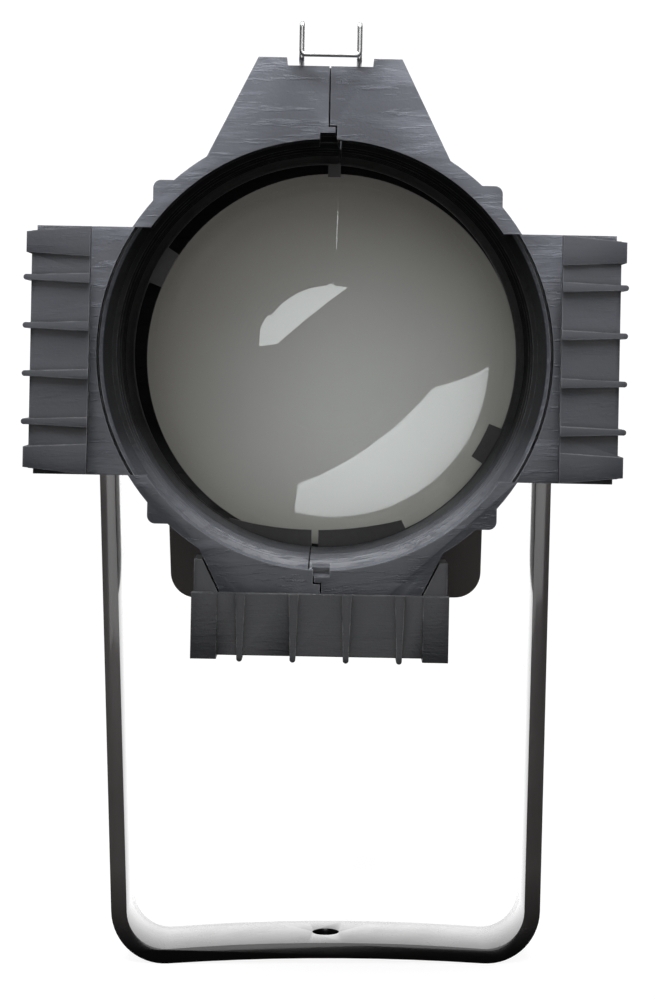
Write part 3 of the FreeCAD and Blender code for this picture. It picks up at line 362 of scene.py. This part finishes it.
def metal(name, color, rough, stretch=(1.0, 1.0, 1.0), tint=None, tinting=0.0):
    """Bare or plated metal with drawn lines, stains and handling marks."""
    kit = material_kit(name)
    lines = kit.noise(260.0, detail=4.0, rough=0.6, stretch=stretch)
    stain = kit.noise(30.0, detail=5.0)
    base = kit.mottled(lines, color, 0.88, 1.08, low=0.3)
    base = kit.mix(kit.spread(stain, 0.45, 0.75, 0.0, tinting), base, tint or color)
    gloss = kit.math("ADD", kit.spread(lines, 0.3, 0.7, rough - 0.05, rough + 0.06),
                     kit.spread(stain, 0.4, 0.8, 0.0, 0.08))
    kit.surface(base, gloss, kit.bump(lines, 0.00003), metallic=1.0)
    return kit.owner


def moulded(name, color, rough):
    """Moulded plastic or fibre with a fine spark-eroded texture."""
    kit = material_kit(name)
    fine = kit.voronoi(1400.0)
    cloud = kit.noise(45.0)
    rub = kit.math("MULTIPLY", kit.edges(0.0006),
                   kit.spread(kit.noise(220.0), 0.4, 0.65, 0.0, 0.5))
    base = kit.mottled(cloud, color, 0.85, 1.12)
    base = kit.mix(rub, base, scaled(color, 2.6))
    gloss = kit.spread(cloud, 0.3, 0.75, rough - 0.06, rough + 0.08)
    kit.surface(base, gloss, kit.bump(fine, 0.00004), specular_ior_level=0.45)
    return kit.owner


def ceramic(name, color):
    """Unglazed ceramic with fine pits."""
    kit = material_kit(name)
    pits = kit.voronoi(900.0)
    cloud = kit.noise(60.0)
    base = kit.mottled(cloud, color, 1.0, 0.82, low=0.4)
    gloss = kit.spread(cloud, 0.3, 0.7, 0.55, 0.75)
    kit.surface(base, gloss, kit.bump(pits, 0.00006))
    return kit.owner


def lens_glass(name, film, rim_shaded_film):
    """Polished glass, clean in front, with a pale film on the back face and rim: painted light for the lit inside
    seen through the lens, darker towards the rim as painted shade, with fine specks of dust.
    """
    kit = material_kit(name)
    # Painted shade: the film darkens towards the rim.
    from_middle = kit.radius_from(LENS_CENTRE.x, LENS_CENTRE.z - FILM_DROP)
    far = kit.spread(from_middle, 0.0, LENS_RADIUS)
    patchy = kit.spread(kit.noise(14.0, detail=3.0), 0.3, 0.75, -0.05, 0.05)
    color = kit.mix(kit.math("ADD", kit.math("POWER", far, 1.6), patchy), film, rim_shaded_film)
    speck = kit.spread(kit.noise(2600.0, detail=1.0), 0.66, 0.74, 0.0, 0.08)
    color = kit.mix(speck, color, scaled(film, 1.5))
    behind = kit.spread(kit.along("Y"), LENS_RIM_Y, LENS_RIM_Y + 0.001)
    glass = kit.surface(kit.mix(behind, rgba(0.99), color), 0.0, ior=LENS_IOR)
    kit.link(kit.scale_to(behind, 1.0, 0.06), glass.inputs["Transmission Weight"])
    clear = kit.add("ShaderNodeBsdfTransparent")     # light passes without a shadow
    path = kit.add("ShaderNodeLightPath")
    passing = kit.add("ShaderNodeMixShader")
    kit.link(path.outputs["Is Shadow Ray"], passing.inputs["Fac"])
    kit.link(glass.outputs["BSDF"], passing.inputs[1])
    kit.link(clear.outputs["BSDF"], passing.inputs[2])
    kit.link(passing.outputs["Shader"], kit.output.inputs["Surface"])
    return kit.owner


def quartz(name):
    """Clear quartz with a faint haze and fine draw lines."""
    kit = material_kit(name)
    haze = kit.noise(90.0, detail=3.0)
    lines = kit.noise(600.0, stretch=(1.0, 0.05, 1.0))
    color = kit.mix(kit.spread(haze, 0.4, 0.7), rgba(0.98), rgba(0.86, 0.85, 0.82))
    kit.surface(color, kit.spread(haze, 0.3, 0.8, 0.0, 0.06), kit.bump(lines, 0.00001),
                ior=1.46, transmission_weight=1.0)
    return kit.owner


MATERIALS = {
    "cast": cast_coat("cast_coat", rgba(0.094, 0.098, 0.114)),
    "channel": painted("channel_coat", rgba(0.016, 0.0165, 0.019), 0.42, streaks=0.5, wear=0.55),
    # Painted shade: the yoke is darker low down.
    "yoke_paint": painted("yoke_coat", rgba(0.092, 0.084, 0.081), 0.20, grain=0.00002, wear=0.2,
                          painted_shade_below=(0.006, 0.040, 0.05), varnish=0.9),
    "skirt_paint": painted("skirt_coat", rgba(0.062, 0.050, 0.046), 0.5, wear=0.2),
    "housing_cast": painted("housing_coat", rgba(0.055, 0.056, 0.062), 0.45, streaks=0.1),
    "fibre": moulded("fibre", rgba(0.16, 0.06, 0.03), 0.7),
    "knob": moulded("phenolic", rgba(0.018, 0.018, 0.019), 0.38),
    "grip": moulded("grip_moulding", rgba(0.022, 0.020, 0.019), 0.5),
    "gland": moulded("polyamide", rgba(0.02), 0.45),
    "zinc": metal("zinc_plate", rgba(0.62, 0.62, 0.60), 0.30, tint=rgba(0.5, 0.48, 0.4),
                  tinting=0.4),
    "blackened": metal("blackened_steel", rgba(0.07), 0.42),
    "stainless": metal("stainless_sheet", rgba(0.50, 0.48, 0.45), 0.45, stretch=(0.1, 1.0, 1.0),
                       tint=rgba(0.36, 0.31, 0.24), tinting=0.5),
    "nickel": metal("nickel_wire", rgba(0.90, 0.90, 0.89), 0.32),
    "reflector_metal": metal("bright_anodised", rgba(0.86, 0.86, 0.84), 0.12),
    "plate": metal("rolled_sheet", rgba(0.55, 0.55, 0.54), 0.4, stretch=(0.1, 1.0, 1.0)),
    "lamp_metal": metal("ground_aluminium", rgba(0.66), 0.32),
    "tungsten": metal("tungsten_coil", rgba(0.30, 0.30, 0.31), 0.4),
    "ceramic": ceramic("lamp_ceramic", rgba(0.72, 0.68, 0.58)),
    "lens_glass": lens_glass("lens_glass", rgba(0.53, 0.53, 0.505), rgba(0.25, 0.24, 0.22)),
    "quartz": quartz("quartz"),
}


# ---------------------------------------------------------------- geometry

def add_object(name, data):
    """Object in the scene, made from a mesh, light or camera."""
    obj = bpy.data.objects.new(name, data)
    bpy.context.scene.collection.objects.link(obj)
    return obj


def flat_mesh(name, corners):
    """Mesh of one flat face."""
    mesh = bpy.data.meshes.new(name)
    work = bmesh.new()
    work.faces.new([work.verts.new(corner) for corner in corners])
    work.to_mesh(mesh)
    work.free()
    return mesh


def smooth_into(work, mesh, sharp_degrees):
    """Writes a bmesh to a mesh, smooth except over sharp edges."""
    for face in work.faces:
        face.smooth = True
    work.to_mesh(mesh)
    work.free()
    if "custom_normal" in mesh.attributes:
        mesh.attributes.remove(mesh.attributes["custom_normal"])
    mesh.set_sharp_from_angle(angle=math.radians(sharp_degrees))


def give_material(piece, slot_name):
    """Leaves a piece with one material."""
    piece.data.materials.clear()
    piece.data.materials.append(MATERIALS[slot_name])


def softened(node, width):
    """Copy of a CAD piece with every hard edge broken, as a casting or a coated bar has."""
    mesh = NODES[node].data.copy()
    mesh.name = node + "_soft"
    work = bmesh.new()
    work.from_mesh(mesh)
    bmesh.ops.remove_doubles(work, verts=work.verts, dist=SAME_PLACE)
    bmesh.ops.dissolve_limit(work, angle_limit=COPLANAR, verts=work.verts, edges=work.edges)
    hard = [edge for edge in work.edges
            if len(edge.link_faces) == 2 and edge.calc_face_angle(0.0) > HARD_EDGE]
    bmesh.ops.bevel(work, geom=hard, offset=width, segments=2, profile=0.6,
                    affect="EDGES", clamp_overlap=True)
    smooth_into(work, mesh, 38.0)
    piece = add_object(node + "_soft", mesh)
    give_material(piece, SLOT_OF[node])
    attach(piece, BODY_OF[node])
    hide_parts(node)


def turned(name, profile, centre, segments):
    """Mesh turned round the Y direction from (radius, y) pairs; the ends may lie on the axis."""
    work = bmesh.new()
    rings = []
    for radius, y in profile:
        if radius < 1e-7:
            rings.append([work.verts.new((centre.x, y, centre.z))])
            continue
        ring = []
        for step in range(segments):
            angle = 2.0 * math.pi * step / segments
            ring.append(work.verts.new((centre.x + radius * math.cos(angle), y,
                                        centre.z + radius * math.sin(angle))))
        rings.append(ring)
    for first, second in zip(rings, rings[1:]):
        for step in range(segments):
            after = (step + 1) % segments
            corners = [first[step % len(first)], first[after % len(first)],
                       second[after % len(second)], second[step % len(second)]]
            work.faces.new(list(dict.fromkeys(corners)))
    bmesh.ops.recalc_face_normals(work, faces=work.faces)
    mesh = bpy.data.meshes.new(name)
    smooth_into(work, mesh, 25.0)
    return add_object(name, mesh)


def dome(curve, radius, steps):
    """Radii and heights above the rim plane of a spherical cap, from the rim inwards."""
    depth = math.sqrt(curve ** 2 - radius ** 2)
    limit = math.asin(radius / curve)
    return [(curve * math.sin(limit * step / steps), curve * math.cos(limit * step / steps) - depth)
            for step in range(steps, -1, -1)]


def make_lens():
    """Lens strongly curved in front and slightly behind, with an eased rim."""
    front = dome(LENS_FRONT_CURVE, LENS_RADIUS - LENS_EASE, 64)
    behind = dome(LENS_BACK_CURVE, LENS_RADIUS - LENS_EASE, 24)
    back = LENS_RIM_Y + LENS_THICK
    profile = [(radius, LENS_RIM_Y - height) for radius, height in reversed(front)]
    profile += [(LENS_RADIUS, LENS_RIM_Y + LENS_EASE), (LENS_RADIUS, back - LENS_EASE)]
    profile += [(radius, back + height) for radius, height in behind]
    lens = turned("lens_polished", profile, LENS_CENTRE, 192)
    give_material(lens, "lens_glass")
    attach(lens, BODY_OF["front_lens"])
    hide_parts("front_lens")
    return lens


# ---------------------------------------------------------------- floor, light and camera

def only(lamp, piece, state):
    """Light linking: the lamp lights only this piece, or everything but this piece."""
    group = bpy.data.collections.new(lamp.name + "_receivers")
    group.objects.link(piece)
    group.collection_objects[0].light_linking.link_state = state
    lamp.light_linking.receiver_collection = group


def area(name, place, target, size, power, color=(1.0, 1.0, 1.0)):
    """Rectangular softbox aimed at a point."""
    lamp = bpy.data.lights.new(name, "AREA")
    lamp.shape = "RECTANGLE"
    lamp.size, lamp.size_y = size
    lamp.energy = power
    lamp.color = color
    obj = add_object(name, lamp)
    obj.location = place
    obj.rotation_euler = (Vector(target) - Vector(place)).to_track_quat("-Z", "Y").to_euler()
    obj.visible_camera = False
    return obj


def make_lights(lens):
    """Softbox above for the tube, weak fill in front, and a fill of its own for the lens."""
    key = area("key_box", (-0.05, -0.50, 0.85), (0.0, -0.25, 0.30), (0.8, 0.30), 10.5,
               (0.96, 0.98, 1.0))
    fill = area("fill_box", (0.0, -1.5, 0.35), (0.0, 0.0, 0.22), (0.8, 0.8), 3.6)
    lens_fill = area("lens_fill", (0.0, -1.5, 0.33), (0.0, -0.2, 0.25), (0.6, 0.6), 6.8)
    lens_fill.visible_glossy = False
    lens_fill.visible_transmission = False
    for lamp, state in ((key, "EXCLUDE"), (fill, "EXCLUDE"), (lens_fill, "INCLUDE")):
        only(lamp, lens, state)


def make_window(lens):
    """Flat glowing panel that only the lens mirrors."""
    panel = add_object("window_panel",
                       flat_mesh("window_panel", [(x, WINDOW_Y, z) for x, z in WINDOW_XZ]))
    kit = material_kit("window_glow")
    glow = kit.add("ShaderNodeEmission", {"Color": (0.94, 1.0, 1.0, 1.0),
                                          "Strength": WINDOW_STRENGTH})
    kit.link(glow.outputs["Emission"], kit.output.inputs["Surface"])
    panel.data.materials.append(kit.owner)
    panel.visible_camera = False
    panel.visible_diffuse = False
    panel.visible_shadow = False
    only(panel, lens, "INCLUDE")


def make_floor():
    """Wide white sweep."""
    signs = ((-1, -1), (1, -1), (1, 1), (-1, 1))
    floor = add_object("floor", flat_mesh("floor", [(x * FLOOR_HALF, y * FLOOR_HALF, FLOOR_Z)
                                                    for x, y in signs]))
    kit = material_kit("floor_white")
    shader = kit.surface(kit.mix(kit.noise(3.0), rgba(0.20), rgba(0.22)), 0.9)
    shader.inputs["Emission Color"].default_value = rgba(1.0)
    shader.inputs["Emission Strength"].default_value = 0.90
    floor.data.materials.append(kit.owner)
    floor.visible_diffuse = False
    floor.visible_glossy = False
    floor.visible_transmission = False


def make_world():
    """White studio: bright above and behind, dim in front and below."""
    world = bpy.data.worlds.new("studio")
    bpy.context.scene.world = world
    kit = NodeKit(world, "ShaderNodeOutputWorld")
    seen = kit.add("ShaderNodeBackground", {"Color": rgba(1.0), "Strength": 1.05})
    light = kit.add("ShaderNodeBackground")
    direction = kit.add("ShaderNodeTexCoord").outputs["Generated"]
    above = kit.spread(kit.part_of(direction, "Z"), 0.0, 0.9, 0.02, 0.35)
    behind = kit.spread(kit.part_of(direction, "Y"), 0.45, 0.80, 0.0, 1.7)
    kit.link(kit.math("MAXIMUM", above, behind), light.inputs["Strength"])
    path = kit.add("ShaderNodeLightPath")
    mix = kit.add("ShaderNodeMixShader")
    kit.link(path.outputs["Is Camera Ray"], mix.inputs["Fac"])
    kit.link(light.outputs["Background"], mix.inputs[1])
    kit.link(seen.outputs["Background"], mix.inputs[2])
    kit.link(mix.outputs["Shader"], kit.output.inputs["Surface"])


def make_camera():
    """Level camera in front of the lens, aimed along the optical axis and shifted down."""
    data = bpy.data.cameras.new("camera")
    data.sensor_width = CAMERA_SENSOR_MM
    data.lens = CAMERA_LENS_MM
    data.shift_y = CAMERA_SHIFT
    camera = add_object("camera", data)
    camera.location = CAMERA_PLACE
    camera.rotation_euler = (math.radians(90.0), 0.0, 0.0)
    bpy.context.scene.camera = camera


for node, piece in NODES.items():
    give_material(piece, SLOT_OF[node])
lens_piece = make_lens()
for node, width in SOFT_EDGES.items():
    softened(node, width)

make_floor()
make_world()
make_camera()
make_lights(lens_piece)
make_window(lens_piece)
bpy.context.scene.view_settings.view_transform = "Standard"
